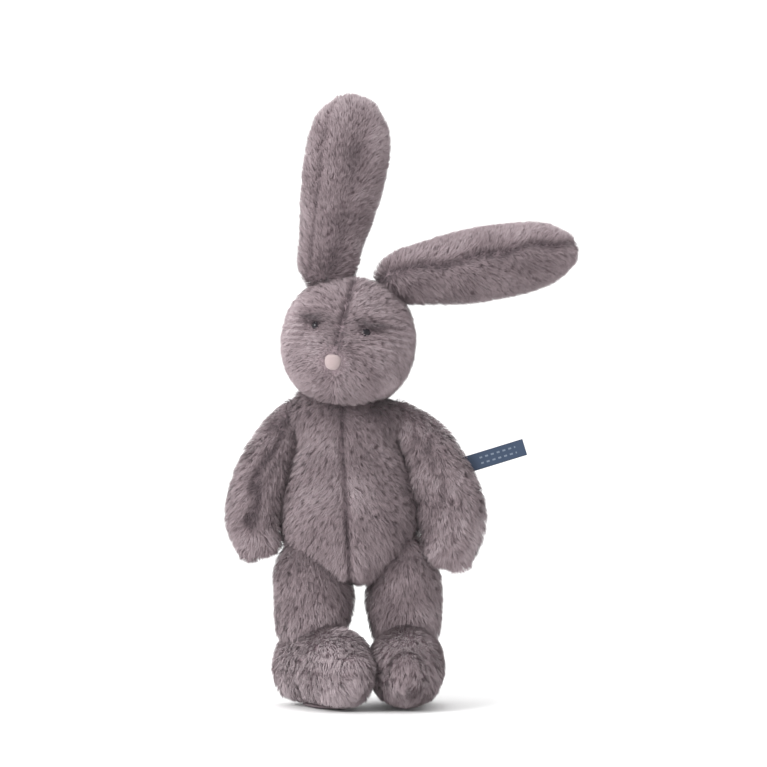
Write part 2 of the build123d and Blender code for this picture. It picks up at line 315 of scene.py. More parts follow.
def arm_swell(inward):
    """Leans a little on the trunk, and stays full down to the paw."""
    def swell(run, share):
        wider = 0.0018 * bell(share, 0.55, 0.3) + 0.002 * bell(share, 0.93, 0.12)
        return np.stack([inward * wider * 0.9, 0 * run, wider, wider * 0.5], axis=1)
    return swell


def thigh_swell(forward, inward, outward):
    """Brings the top of the thigh forwards, over the lower corner of the trunk, and outwards, and
    fills the thigh out towards the other one."""
    def swell(run, share):
        top, full = np.clip((0.55 - share) / 0.55, 0, 1), bell(share, 0.6, 0.3)
        wider = 0.001 * top + abs(inward) * full + abs(outward) * 0.6 * top
        return np.stack([inward * full + outward * top, forward * top, wider, 0.001 * top], axis=1)
    return swell


forms["torso"] = Form("torso", torso_panels, (torso_middle[0], torso_middle[1], 0), Z, X, BACKING_IN,
                      low=0.42, high=0.34, swell=torso_swell)

eye_line = unit(middle_of("eye_left") - middle_of("eye_right"))
head_up = unit(np.cross(eye_line, Y))
head_up = head_up * np.sign(head_up[2])
head_back = np.cross(head_up, eye_line)
head_panels = ["face_left_panel", "face_right_panel", "head_back_panel"]
head_centre = middle_of(*head_panels)
forms["head"] = Form("head", head_panels, head_centre, head_back, eye_line, BACKING_IN, low=0.45, high=0.25,
                     stretch=(0, -0.003), square=2.25)

for side in ("left", "right"):
    ear_panels = [f"ear_{side}_front_panel", f"ear_{side}_back_panel"]
    root = joint_at(f"ear_{side}_flop")
    along, wide, _ = main_direction(ear_panels)
    along = along * np.sign((middle_of(*ear_panels) - root) @ along)
    wide = wide * (np.sign(wide[0]) if side == "right" else -np.sign(wide[1]))
    forms[f"ear_{side}"] = Form(f"ear_{side}", ear_panels, root, along, wide, BACKING_IN, low=0.35, high=0.45,
                                stretch=(0.003, -0.0035), swell=ear_swell)

    arm_panels = [f"arm_{side}_outer_panel", f"arm_{side}_inner_panel"]
    shoulder = joint_at(f"arm_{side}_lift")
    low = np.array([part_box(name)[0] for name in arm_panels]).min(axis=0)
    paw = middle_of(*arm_panels)
    paw[0] = middle_of(f"arm_{side}_outer_panel")[0]
    paw[2] = low[2]
    forms[f"arm_{side}"] = Form(f"arm_{side}", arm_panels, shoulder, paw - shoulder, X, BACKING_IN,
                                low=0.4, high=0.5, swell=arm_swell(1 if side == "right" else -1))

    shin_panels = [f"shin_{side}_outer_panel", f"shin_{side}_inner_panel"]
    hip = joint_at(f"leg_{side}_fold")

    forms[f"shin_{side}"] = Form(f"shin_{side}", shin_panels, hip, -Z, X, BACKING_IN, low=0.7, high=0.3,
                                 stretch=(0.014, 0.005), swell=thigh_swell(*THIGH_SHIFTS[side]))

    foot_panels = [f"foot_{side}_outer_panel", f"foot_{side}_inner_panel"]
    toe = main_direction([f"foot_{side}_sole"])[0]
    toe = toe * -np.sign(toe[1])
    forms[f"foot_{side}"] = Form(f"foot_{side}", foot_panels, middle_of(*foot_panels), toe,
                                 np.cross(toe, Z), BACKING_IN, low=0.8, high=0.8, square=2.3)
for form in forms.values():
    print(form.name, "is", round((form.last - form.first) * 1000), "mm long")


# %% [markdown]
# A soft toy is cut flat, sewn, and filled through one gap, so that its cloth swells between its
# seams. The backing of each piece is a smooth grid that is blown up a little as cloth, held along
# its seams. The grid keeps its order, so any place on it can be named by two numbers afterwards.

# %% Sewing and filling one backing
RINGS, AROUND = 46, 64
SEAMS = {"torso": (0.0, 0.25, 0.5, 0.75), "head": (0.25,), "ear_left": (0.0, 0.5), "ear_right": (0.0, 0.5)}
MOST_MOVE = 1.1 * MM
STUFFING_PRESSURE = 1500.0  # found by trial: it swells a backing by 0.1 to 0.5 mm on average


def grid_faces(rings, around):
    """Quads between neighbouring rings, and a fan of triangles round each pole."""
    ring, turn = np.meshgrid(np.arange(rings - 1), np.arange(around), indexing="ij")
    here, there = 1 + ring * around + turn, 1 + ring * around + (turn + 1) % around
    quads = np.stack([here, there, there + around, here + around], axis=-1).reshape(-1, 4)
    turn = np.arange(around)
    last = 1 + (rings - 1) * around
    first_fan = np.stack([np.zeros(around, int), 1 + (turn + 1) % around, 1 + turn], axis=1)
    last_fan = np.stack([np.full(around, last + around), last + turn, last + (turn + 1) % around], axis=1)
    return quads.tolist() + first_fan.tolist() + last_fan.tolist()


def outward(vertices, faces):
    """The faces, each turned over if together they enclose a negative volume."""
    corners = np.array([face[:3] for face in faces])
    a, b, c = (vertices[corners[:, k]] for k in range(3))
    volume = np.einsum("ij,ij->i", a - vertices.mean(axis=0), np.cross(b - a, c - a)).sum()
    return faces if volume > 0 else [face[::-1] for face in faces]


def mesh_object(name, vertices, faces, material, smooth=True):
    """A mesh at the origin made from arrays, with one material."""
    mesh = bpy.data.meshes.new(name)
    mesh.from_pydata(np.asarray(vertices).tolist(), [], faces)
    mesh.shade_smooth() if smooth else mesh.shade_flat()
    mesh.materials.append(material)
    made = bpy.data.objects.new(name, mesh)
    bpy.context.scene.collection.objects.link(made)
    return made


def vertices_of(obj):
    """The vertex places of an object as it stands now, after its modifiers."""
    seen = obj.evaluated_get(bpy.context.evaluated_depsgraph_get()).data
    flat = np.empty(len(seen.vertices) * 3)
    seen.vertices.foreach_get("co", flat)
    return flat.reshape(-1, 3)


def fill_with_cloth(obj, held):
    """Blows the closed grid up as cloth for 20 frames with its seams held, and caps each move."""
    before = vertices_of(obj)
    group = obj.vertex_groups.new(name="seams")
    group.add(held.tolist(), 1.0, "REPLACE")
    cloth = obj.modifiers.new("fill", "CLOTH")
    cloth.settings.quality = 5
    cloth.settings.mass = 0.002
    cloth.settings.tension_stiffness = 5
    cloth.settings.compression_stiffness = 5
    cloth.settings.shear_stiffness = 5 / 3
    cloth.settings.bending_stiffness = 0.05
    cloth.settings.air_damping = 2
    cloth.settings.use_pressure = True
    cloth.settings.uniform_pressure_force = STUFFING_PRESSURE
    cloth.settings.vertex_group_mass = "seams"
    cloth.settings.effector_weights.gravity = 0
    cloth.point_cache.frame_end = 20
    for frame_number in range(1, 21):
        bpy.context.scene.frame_set(frame_number)
    moved = vertices_of(obj) - before
    obj.modifiers.remove(cloth)
    bpy.context.scene.frame_set(1)
    length = np.linalg.norm(moved, axis=1, keepdims=True)
    after = before + moved * np.minimum(1, MOST_MOVE / np.maximum(length, 1e-9))
    obj.data.vertices.foreach_set("co", after.ravel())
    obj.data.update()
    average, most = round(length.mean() * 1000, 2), round(length.max() * 1000, 2)
    capped = round((length > MOST_MOVE).mean() * 100)
    print(obj.name, "swelled", average, "mm on average and", most, "mm at most;", capped, "% of it is capped")
    return after


def sew(form, material):
    """The backing of one piece, and its places as an array (rings + 2, around + 1, 3)."""
    down = np.arange(1, RINGS + 1) / (RINGS + 1)
    turns = np.arange(AROUND) / AROUND
    rings = form.surface(np.broadcast_to(turns, (RINGS, AROUND)),
                         np.broadcast_to(down[:, None], (RINGS, AROUND)))
    poles = form.surface(np.zeros(2), np.array([0.0, 1.0]))
    vertices = np.concatenate([poles[:1], rings.reshape(-1, 3), poles[1:]])
    vertices[:, 2] = np.maximum(vertices[:, 2], 2.2 * MM)
    faces = outward(vertices, grid_faces(RINGS, AROUND))
    backing = mesh_object(f"{form.name}_backing", vertices, faces, material)
    seam_turns = np.array(SEAMS.get(form.name, (0.25, 0.75)))
    columns = np.round(seam_turns * AROUND).astype(int) % AROUND
    held = (1 + np.arange(RINGS)[:, None] * AROUND + columns).ravel()
    vertices = fill_with_cloth(backing, np.append(held, [0, len(vertices) - 1]))
    rings = vertices[1:-1].reshape(RINGS, AROUND, 3)
    ends = [np.broadcast_to(vertices[k], (1, AROUND, 3)) for k in (0, -1)]
    whole = np.concatenate([ends[0], rings, ends[1]])
    return backing, np.concatenate([whole, whole[:, :1]], axis=1)


# %% [markdown]
# The pile cloth's own colour is a greyed rose brown. Its hairs carry painted shade: each is darker towards
# its root, so that the tips read paler, and darker where the pile parts. The colour of a hair is chosen by
# two numbers kept as its map: how light that hair is, from its own tone and from painted shade where it lies,
# and how far a point is from its root.

# %% Materials
PILE_DARK, PILE_MID, PILE_LIGHT = linear(84, 70, 75), linear(147, 131, 135), linear(190, 176, 180)


def pile_material():
    """Hair tone across the map, from dark to light, with painted shade that darkens it towards the root."""
    shader = Shader("pile", Roughness=0.62, Sheen_Weight=0.25, Sheen_Roughness=0.5)
    place = shader.node("ShaderNodeUVMap", {"uv_map": "OFBake"})
    across = shader.node("ShaderNodeSeparateXYZ", None, place)
    along = Value(shader, across.socket.node.outputs[1])
    tone = shader.node("ShaderNodeValToRGB", {"stops": [
        (0.0, PILE_DARK), (0.5, PILE_MID), (1.0, PILE_LIGHT)]}, across)
    # painted shade: the hairs darken towards their roots
    root_shade = shader.node("ShaderNodeValToRGB", {"stops": [
        (0.0, (0.70, 0.67, 0.68)), (0.5, (0.90, 0.88, 0.89)), (0.9, (1.0, 1.0, 1.0))]}, along)
    mixed = shader.node("ShaderNodeMix", {"data_type": "RGBA", "blend_type": "MULTIPLY"}, 1.0, out=2)
    node = mixed.socket.node
    shader.tree.links.new(tone.socket, node.inputs[6])
    shader.tree.links.new(root_shade.socket, node.inputs[7])
    shader.feed("Base Color", mixed)
    return shader.material


def plain_material(name, colour, roughness, **more):
    """One flat colour."""
    return Shader(name, Base_Color=(*colour, 1.0), Roughness=roughness, **more).material


pile = pile_material()
backing_cloth = plain_material("backing", linear(132, 116, 121), 0.9)


# %% [markdown]
# Long pile isn't an even lawn. It lies over in one direction, bends as it goes, and gathers in
# locks whose tips draw together. So the locks are placed first and the hairs gathered round them.

# %% Places on a backing
SEED = 20
STRANDS_PER_MM2 = 3.0
LOCK_AREA = 4.0  # square mm of cloth for each lock
LOCK_RADIUS = 1.7 * MM


class Cloth:
    """A backing's grid as a surface: a place, a normal and the two stretches at any (turn, down)."""

    def __init__(self, grid):
        self.grid = grid
        self.rows, self.columns = grid.shape[0] - 1, grid.shape[1] - 1
        middle = grid[1:-1].mean(axis=(0, 1))
        du = (np.roll(grid[:, :-1], -1, axis=1) - np.roll(grid[:, :-1], 1, axis=1)) / 2
        du = np.concatenate([du, du[:, :1]], axis=1)
        dv = np.gradient(grid, axis=0)
        normal = unit(np.cross(du, dv))
        inner = normal[1:-1]
        if np.einsum("ijk,ijk->", inner, grid[1:-1] - middle) < 0:
            normal[1:-1] = -inner
        normal[0] = unit(grid[0, 0] - grid[2].mean(axis=0))
        normal[-1] = unit(grid[-1, 0] - grid[-3].mean(axis=0))
        self.normal = normal
        self.around_stretch = np.linalg.norm(du, axis=-1) * self.columns
        self.down_stretch = np.linalg.norm(dv, axis=-1) * self.rows
        a, b = grid[1:, :-1] - grid[:-1, :-1], grid[:-1, 1:] - grid[:-1, :-1]
        c, d = grid[1:, :-1] - grid[1:, 1:], grid[:-1, 1:] - grid[1:, 1:]
        halves = np.linalg.norm(np.cross(a, b), axis=-1), np.linalg.norm(np.cross(c, d), axis=-1)
        self.cell_area = (halves[0] + halves[1]) / 2
        self.area_mm2 = self.cell_area.sum() * 1e6

    def at(self, field, around, down):
        """A field given at the grid's points, read between them."""
        u = (around % 1.0) * self.columns
        v = np.clip(down, 0, 1) * self.rows
        j, i = np.minimum(u.astype(int), self.columns - 1), np.minimum(v.astype(int), self.rows - 1)
        fu, fv = (u - j), (v - i)
        if field.ndim == 3:
            fu, fv = fu[:, None], fv[:, None]
        return ((field[i, j] * (1 - fu) + field[i, j + 1] * fu) * (1 - fv)
                + (field[i + 1, j] * (1 - fu) + field[i + 1, j + 1] * fu) * fv)

    def scatter(self, count, rng):
        """Evenly spread (turn, down) places: the cells' areas are laid end to end and cut evenly."""
        ends = np.cumsum(self.cell_area.ravel())
        cell = np.searchsorted(ends, (np.arange(count) + rng.random(count)) / count * ends[-1])
        i, j = np.divmod(np.minimum(cell, ends.size - 1), self.columns)
        return (j + rng.random(count)) / self.columns, (i + rng.random(count)) / self.rows


def ripples(points, wavelength, seed, terms=9):
    """A smooth field of numbers from about -1 to 1: a sum of sines in random directions."""
    rng = np.random.default_rng(seed)
    way = unit(rng.normal(size=(terms, 3))) * rng.uniform(0.7, 1.5, (terms, 1)) * 2 * pi / wavelength
    return np.sin(points @ way.T + rng.uniform(0, 2 * pi, terms)).sum(axis=1) / np.sqrt(terms) / 1.1


def bump_at(distance, reach):
    """1 at no distance, falling smoothly to nothing at about twice the reach."""
    return np.exp(-(distance / reach) ** 2)


# %% [markdown]
# Every hair is a thin ribbon of three lengths, ending in a point. It leaves the cloth at a slope
# and bends over towards the way the pile is brushed, and it is drawn in towards the middle of its
# lock. Its flat side faces outwards, give or take, so that the coat catches light as a whole.

# %% Growing the pile
STEPS = np.array([0.0, 0.34, 0.68, 1.0])
WIDTH = 0.30 * MM


def grow(cloth, style, seed):
    """All the hairs of one piece: places (hairs, 7, 3), tones, and where each hair is rooted.
    `style` gives the brushed direction, the length and the tone at any points of the cloth."""
    rng = np.random.default_rng(seed)
    locks = int(cloth.area_mm2 / LOCK_AREA)
    each = int(round(STRANDS_PER_MM2 * LOCK_AREA))
    lock_turn, lock_down = cloth.scatter(locks, rng)
    lock = np.repeat(np.arange(locks), each)
    count = lock.size
    radius, angle = LOCK_RADIUS * np.sqrt(rng.random(count)), rng.random(count) * 2 * pi
    stretch_u = np.maximum(cloth.at(cloth.around_stretch, lock_turn, lock_down), 0.012)[lock]
    stretch_v = np.maximum(cloth.at(cloth.down_stretch, lock_turn, lock_down), 0.012)[lock]
    turn = lock_turn[lock] + radius * np.cos(angle) / stretch_u
    down = np.clip(lock_down[lock] + radius * np.sin(angle) / stretch_v, 0.0005, 0.9995)

    def shaped(turns, downs):
        root = cloth.at(cloth.grid, turns, downs)
        normal = unit(cloth.at(cloth.normal, turns, downs))
        brushed, length, tone = style(root, normal)
        brushed = brushed - normal * np.einsum("ij,ij->i", brushed, normal)[:, None]
        return root, normal, unit(brushed), length, tone

    root, normal, brushed, length, tone = shaped(turn, down)
    mid_root, mid_normal, mid_brushed, _, _ = shaped(lock_turn, lock_down)
    sway = rng.normal(size=(locks, 1)) * 0.13
    side = np.cross(mid_normal, mid_brushed)
    mid_brushed = unit(mid_brushed + side * sway)
    lift = rng.uniform(0.84, 1.06, locks)[lock]
    length = length * rng.uniform(0.92, 1.08, locks)[lock] * rng.uniform(0.84, 1.06, count)
    own = unit(brushed + np.cross(normal, brushed) * (sway[lock] * 0.8 + rng.normal(size=(count, 1)) * 0.22))

    s = STEPS[None, :, None]
    rise = (0.95 * s - 0.28 * s ** 2) * lift[:, None, None]
    run = 0.22 * s + 0.42 * s ** 2
    curl = np.sin(s * 3.6 + (rng.random(locks) * 2 * pi)[lock][:, None, None]) * s * 0.07
    shape = length[:, None, None] * (rise * normal[:, None] + run * own[:, None]
                                     + curl * np.cross(normal, own)[:, None])
    mid_shape = length[:, None, None] * (rise * mid_normal[lock][:, None] + run * mid_brushed[lock][:, None]
                                         + curl * np.cross(mid_normal, mid_brushed)[lock][:, None])
    path = root[:, None] + shape
    mid_path = mid_root[lock][:, None] + mid_shape
    draw = 0.16 * s ** 1.3
    path = path * (1 - draw) + mid_path * draw
    path[..., 2] -= (STEPS ** 2 * 0.06) * length[:, None]
    path[..., 2] = np.maximum(path[..., 2], 0.7 * MM)

    ahead = unit(np.gradient(path, axis=1))
    flat = unit(np.cross(ahead, normal[:, None]))
    roll = rng.normal(size=(count, 1, 1)) * 0.4
    flat = flat * np.cos(roll) + np.cross(ahead, flat) * np.sin(roll)
    half = WIDTH / 2 * np.array([1.0, 0.95, 0.72])[None, :, None] * rng.uniform(0.8, 1.15, (count, 1, 1))
    points = np.concatenate([path[:, :3] - flat[:, :3] * half, path[:, :3] + flat[:, :3] * half, path[:, 3:]],
                            axis=1)
    tone = tone + (rng.normal(size=locks) * 0.05)[lock] + rng.normal(size=count) * 0.06
    return {"points": points, "tone": np.clip(tone, 0.01, 0.99), "root": root, "tip": path[:, 3],
            "turn": turn, "down": down}


HAIR_HEIGHTS = np.array([0.0, 0.34, 0.68, 0.0, 0.34, 0.68, 1.0])
HAIR_SIDES = np.array([-1, -1, -1, 1, 1, 1, 0])


def hair_mesh(name, points, tone, material):
    """Hairs as one mesh: two quads and a triangle each, with (tone, height) as their map."""
    count = len(points)
    start = (np.arange(count) * 7)[:, None]
    corners = np.concatenate([start + [0, 1, 4, 3], start + [1, 2, 5, 4], start + [2, 6, 5]], axis=1).ravel()
    sizes = np.tile([4, 4, 3], count)
    mesh = bpy.data.meshes.new(name)
    mesh.vertices.add(count * 7)
    mesh.vertices.foreach_set("co", points.astype(np.float32).ravel())
    mesh.loops.add(len(corners))
    mesh.loops.foreach_set("vertex_index", corners.astype(np.int32))
    mesh.polygons.add(len(sizes))
    mesh.polygons.foreach_set("loop_start", np.concatenate([[0], np.cumsum(sizes)[:-1]]).astype(np.int32))
    mesh.update(calc_edges=True)
    mesh.shade_smooth()
    u = tone[:, None] + HAIR_SIDES[None, :] * 0.004
    v = np.broadcast_to(0.01 + HAIR_HEIGHTS * 0.98, u.shape)
    layer = mesh.uv_layers.new(name="OFBake")
    layer.data.foreach_set("uv", np.stack([u, v], axis=-1).reshape(-1, 2)[corners].astype(np.float32).ravel())
    mesh.materials.append(material)
    made = bpy.data.objects.new(name, mesh)
    bpy.context.scene.collection.objects.link(made)
    return made


# %% [markdown]
# Each piece is brushed its own way. Down the limbs and the trunk, outwards from the middle seam of the face,
# and along the ears. The pile is clipped short round the eyes and the nose, and it parts over every seam,
# where its hairs are painted darker as shade in the parting. Each piece's tone also carries painted shade in
# its creases and where it meets its neighbours.

# %% How each piece is brushed
EYES = {side: middle_of(f"eye_{side}") for side in ("left", "right")}
NOSE_AT = middle_of("nose")
LENGTH = 7.0 * MM


def local_on_head(points):
    """Across the face, up it, and out of it, from the head's middle."""
    from_middle = points - head_centre
    return from_middle @ eye_line, from_middle @ head_up, from_middle @ -head_back


def sway_field(points, seed, wavelength=0.03):
    """Three smooth fields as a small wandering direction."""
    return np.stack([ripples(points, wavelength, seed + k) for k in range(3)], axis=1)


def parting(offset, width):
    """A seam at offset 0: how much of it is here (1 on it), and to which side the pile falls."""
    return bump_at(offset, width), np.tanh(offset / width)


def brush_head(points, normals):
    """Outwards from the middle of the face, fanning past the eyes, and down behind it; painted shade darkens
    the pile above and round the eyes, round the nose and in the face's middle parting.
    """
    a, b, f = local_on_head(points)
    front = 1 / (1 + np.exp(-(f - 0.002) / 0.006))
    eye_a, eye_b = local_on_head(np.array([EYES["left"]]))[:2]
    out, up = np.abs(a) - eye_a, b - eye_b
    seam, fall = parting(a, 0.0012)
    face = ((fall * 1.1)[:, None] * eye_line + np.clip(up / 0.028, -0.9, 0.75)[:, None] * head_up
            + 0.25 * head_back)
    behind = -head_up * 0.9 + head_back * 0.1 + (a / 0.06)[:, None] * eye_line
    brushed = face * front[:, None] + behind * (1 - front)[:, None] + sway_field(points, 3) * 0.16
    lid = np.exp(-((out - 0.001) / 0.0062) ** 2 - ((up - 0.0052) / 0.0026) ** 2) * front
    brushed = brushed - (1.8 * lid)[:, None] * head_up
    near_eye = np.min([np.linalg.norm(points - EYES[s], axis=1) for s in EYES], axis=0)
    near_nose = np.linalg.norm(points - NOSE_AT, axis=1)
    clipped = np.clip(np.minimum((near_eye - 0.0034) / 0.007, (near_nose - 0.0050) / 0.010), 0, 1)
    length = LENGTH * (0.20 + 0.72 * clipped + 0.75 * lid) * (1 - 0.10 * front)
    seam = seam * front * (f > 0.005) * np.clip((b + 0.014) / 0.004, 0, 1)
    length = length * (1 - 0.45 * seam)
    above = np.exp(-((out - 0.003) / 0.0085) ** 2 - ((up - 0.0048) / 0.0034) ** 2) * front
    streaks = np.sin(up * 2 * pi / 0.0034 + 2.2 * ripples(points, 0.05, 31))
    streaks = streaks * np.exp(-((out - 0.013) / 0.011) ** 2) * np.exp(-(up / 0.013) ** 2) * front
    eye_ring_shade = bump_at(near_eye, 0.0062)
    nose_ring_shade = bump_at(near_nose, 0.0080)
    # painted shade: darker above and round each eye, round the nose and in the middle parting; the streaks
    # and ripples are the pile's own tone
    tone = (0.58 + 0.10 * ripples(points, 0.026, 11) - 0.72 * above - 0.75 * seam + 0.22 * streaks
            - 0.18 * eye_ring_shade - 0.10 * nose_ring_shade)
    return brushed, length, tone


def brush_torso(points, normals):
    """Down the trunk and away from the seam down its belly, with painted shade beside the arms, under the
    chin, low between the thighs and in the belly parting, and its +X half painted a little darker as the side
    turned from the key lamp.
    """
    a, height = points[:, 0] - torso_middle[0], points[:, 2]
    seam, fall = parting(a + 0.0040 - 0.05 * (0.17 - height), 0.0013)
    seam = seam * (normals[:, 1] < 0)
    brushed = -Z + (fall * 0.45)[:, None] * X * (normals[:, 1] < 0)[:, None] + sway_field(points, 5) * 0.24
    chin_shade = np.clip((height - 0.158) / 0.02, 0, 1)
    flank_shade = np.clip((np.abs(a) - 0.026) / 0.010, 0, 1) * (np.abs(height - 0.130) < 0.045)
    crotch_shade = bump_at(height - 0.079, 0.009)
    # painted shade: the parting, under the chin, beside the arms and between the thighs; the +X half is
    # painted darker as the side away from the key lamp; the ripples are the cloth's own tone
    tone = (0.54 + 0.13 * ripples(points, 0.03, 12) - 0.50 * seam - 0.22 * chin_shade - 0.20 * flank_shade
            - 0.12 * crotch_shade - 0.06 * np.tanh(a / 0.01))
    return brushed, LENGTH * (0.95 - 0.40 * seam), tone


def brush_arm(form, side):
    """Down the arm, with wandering locks; painted shade darkens a ragged parting down its front seam and the
    side towards the trunk.
    """
    def brush(points, normals):
        local = points - form.origin
        across, distance = local @ form.wide, local @ form.along
        middle = form.section(np.clip(distance, form.first, form.last))[0]
        offset = across - middle[:, 0] - 0.0026 * ripples(points, 0.014, 41)
        front = (normals[:, 1] < 0) * np.clip((form.last - 0.012 - distance) / 0.01, 0, 1)
        seam, fall = parting(offset, 0.0026 if side == "right" else 0.0017)
        seam = seam * front * (1.0 if side == "right" else 0.45)
        end = np.clip((distance - form.last + 0.016) / 0.012, 0, 1)
        brushed = (form.along * (1 - 0.75 * end)[:, None] + X * (fall * seam * 0.8 + 0.12 * fall)[:, None]
                   + sway_field(points, 7, 0.02) * 0.34)
        streaks = np.sin((across * 0.8 + distance * 0.5) * 2 * pi / 0.009 + 2.0 * ripples(points, 0.03, 42))
        streaks = streaks * (0.09 if side == "left" else 0.03)
        inner = np.clip(-(across - middle[:, 0]) / 0.016 * (1 if side == "left" else -1), 0, 1)
        # painted shade: the parting and the side towards the trunk are darker; the streaks and ripples are
        # the pile's own tone
        tone = (0.56 + 0.10 * ripples(points, 0.024, 13) - 0.60 * seam + streaks - 0.14 * inner
                + (0.12 if side == "left" else 0.0) * np.clip((distance - form.last + 0.035) / 0.02, 0, 1))
        top = bump_at(distance - form.first, 0.010)
        brushed = brushed + X * (top * (1.0 if side == "left" else -1.0))[:, None]
        return brushed, LENGTH * (0.95 - 0.25 * seam - 0.10 * end - 0.35 * top), tone
    return brush


def brush_ear(form, side):
    """Along the ear. The raised one has a channel down its front; the other shows the seam at its rim. Both
    carry painted shade, darker at the root, in the channel, at the rims and in the parting, and painted
    light, lighter towards the tip, and the lying one also on its upper side.
    """
    def brush(points, normals):
        local = points - form.origin
        across, fore, distance = local @ form.wide, local @ form.deep, local @ form.along
        middle, half = form.section(np.clip(distance, form.first, form.last))
        share = (across - middle[:, 0]) / np.maximum(half[:, 0], 0.004)
        tip = np.clip((distance - form.last + 0.030) / 0.025, 0, 1)
        root = bump_at(distance - form.first, 0.012)
        sway = sway_field(points, 9) * 0.2
        if side == "right":
            front = (normals[:, 1] < 0.1)
            channel = bump_at(share + 0.05, 0.30) * front * (1 - tip)
            brushed = form.along + form.wide * (np.tanh(share * 3) * 0.38)[:, None] + sway
            # painted shade in the channel, at the root and along the rim; painted light towards the tip
            tone = 0.56 + 0.11 * ripples(points, 0.03, 14) - 0.26 * channel + 0.24 * tip - 0.2 * root
            rim = bump_at(share + 0.80, 0.07) * front
            return brushed, LENGTH * (0.88 - 0.15 * channel - 0.35 * rim), tone - 0.25 * rim
        height = fore * np.sign(form.deep[2]) - middle[:, 1] * np.sign(form.deep[2])
        front = normals[:, 1] < 0.2
        seam, fall = parting(height + 0.0010 * ripples(points, 0.03, 43), 0.0019)
        seam = seam * front
        up = form.deep * np.sign(form.deep[2])
        brushed = form.along * 0.8 + up * (fall * 0.75 * front)[:, None] + sway
        # painted shade in the parting and at the root; painted light towards the tip and on the upper side
        tone = (0.53 + 0.10 * ripples(points, 0.03, 14) + 0.10 * np.tanh(height / 0.004) - 0.55 * seam
                + 0.14 * tip - 0.22 * root)
        return brushed, LENGTH * (0.90 - 0.45 * seam), tone
    return brush


def brush_shin(form, side):
    """Down the leg, with painted shade in the crease under the belly and on the side between the legs."""
    def brush(points, normals):
        brushed = -Z + sway_field(points, 15, 0.022) * 0.26
        inner = np.clip((points[:, 0] - form.origin[0]) / 0.018 * (1 if side == "right" else -1), 0, 1)
        trunk_crease_shade = bump_at(np.maximum(forms["torso"].outside(points), 0), 0.0045)
        # painted shade: darker on the inner side and next to the trunk
        tone = 0.52 + 0.12 * ripples(points, 0.026, 16) - 0.10 * inner - 0.26 * trunk_crease_shade
        return brushed, np.full(len(points), LENGTH * 0.95), tone
    return brush


def brush_foot(form, side):
    """Forwards and down over the toe, with painted shade in the crease at the ankle and along one crease line
    over it; the right foot, on the key lamp's side, is painted lighter than the left.
    """
    def brush(points, normals):
        brushed = form.along * 0.5 - Z * 0.7 + sway_field(points, 17, 0.022) * 0.3
        under = np.clip((0.010 - points[:, 2]) / 0.008, 0, 1)
        ankle = bump_at(np.maximum(forms[f"shin_{side}"].outside(points), 0), 0.006)
        crease = bump_at(points[:, 2] - (0.024 if side == "right" else 0.027), 0.003) * (normals[:, 1] < -0.3)
        # painted shade at the ankle and along the crease line; the right foot is painted lighter as the lit
        # one
        tone = (0.52 + 0.12 * ripples(points, 0.026, 18) - 0.30 * ankle
                - (0.20 if side == "right" else 0.04) * crease + (0.33 if side == "right" else 0.10))
        return brushed, LENGTH * (0.92 - 0.50 * under), tone
    return brush


# %% [markdown]
# The pieces are made one by one. Hairs that would stand inside a neighbour are left out, and the
# ones that would only poke into it are shortened. Each hair goes with the panel it is rooted in, so
# that every sewn panel of the real toy has a piece of its own here.

# %% Backings and pile for every stuffed piece
STYLES = {"torso": brush_torso, "head": brush_head}
for side in ("left", "right"):
    STYLES[f"ear_{side}"] = brush_ear(forms[f"ear_{side}"], side)
    STYLES[f"arm_{side}"] = brush_arm(forms[f"arm_{side}"], side)
    STYLES[f"shin_{side}"] = brush_shin(forms[f"shin_{side}"], side)
    STYLES[f"foot_{side}"] = brush_foot(forms[f"foot_{side}"], side)
PANELS = {"torso": torso_panels, "head": head_panels}
STUFFING = {"torso": "torso_stuffing", "head": "head_stuffing"}
NEIGHBOURS = {"torso": ["head", "shin_left", "shin_right"], "head": ["torso", "ear_left", "ear_right"]}
BODY = {"torso": "torso", "head": "head"}
for side in ("left", "right"):
    for part, faces in (("ear", ("front", "back")), ("arm", ("outer", "inner")),
                        ("shin", ("outer", "inner")), ("foot", ("outer", "inner"))):
        name = f"{part}_{side}"
        PANELS[name] = [f"{name}_{face}_panel" for face in faces]
        STUFFING[name] = f"{name}_filling" if part == "ear" else f"{name}_stuffing"
        BODY[name] = f"leg_{side}" if part in ("shin", "foot") else name
    NEIGHBOURS[f"ear_{side}"] = ["head"]
    NEIGHBOURS[f"arm_{side}"] = ["torso"]
    NEIGHBOURS[f"shin_{side}"] = [f"foot_{side}", "torso"]
    NEIGHBOURS[f"foot_{side}"] = [f"shin_{side}"]


def nearest_panel(points, panels):
    """For each point, the panel with the nearest vertex, looked up on a thinned copy of each."""
    best, chosen = np.full(len(points), np.inf), np.zeros(len(points), int)
    for number, name in enumerate(panels):
        ends = panel_edges([name])[:, 0]
        ends = ends[np.linspace(0, len(ends) - 1, min(len(ends), 1600)).astype(int)]
        squares = (points ** 2).sum(axis=1)[:, None] + (ends ** 2).sum(axis=1)[None]
        gap = (squares - 2 * points @ ends.T).min(axis=1)
        closer = gap < best
        best[closer], chosen[closer] = gap[closer], number
    return chosen


def attach(obj, name):
    """Puts a piece on its body; a thigh, whose cloth is sewn to the trunk, is left on no body, with its place
    applied to its mesh.
    """
    if name.startswith("shin"):
        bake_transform(obj)
    else:
        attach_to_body(obj, BODY[name])


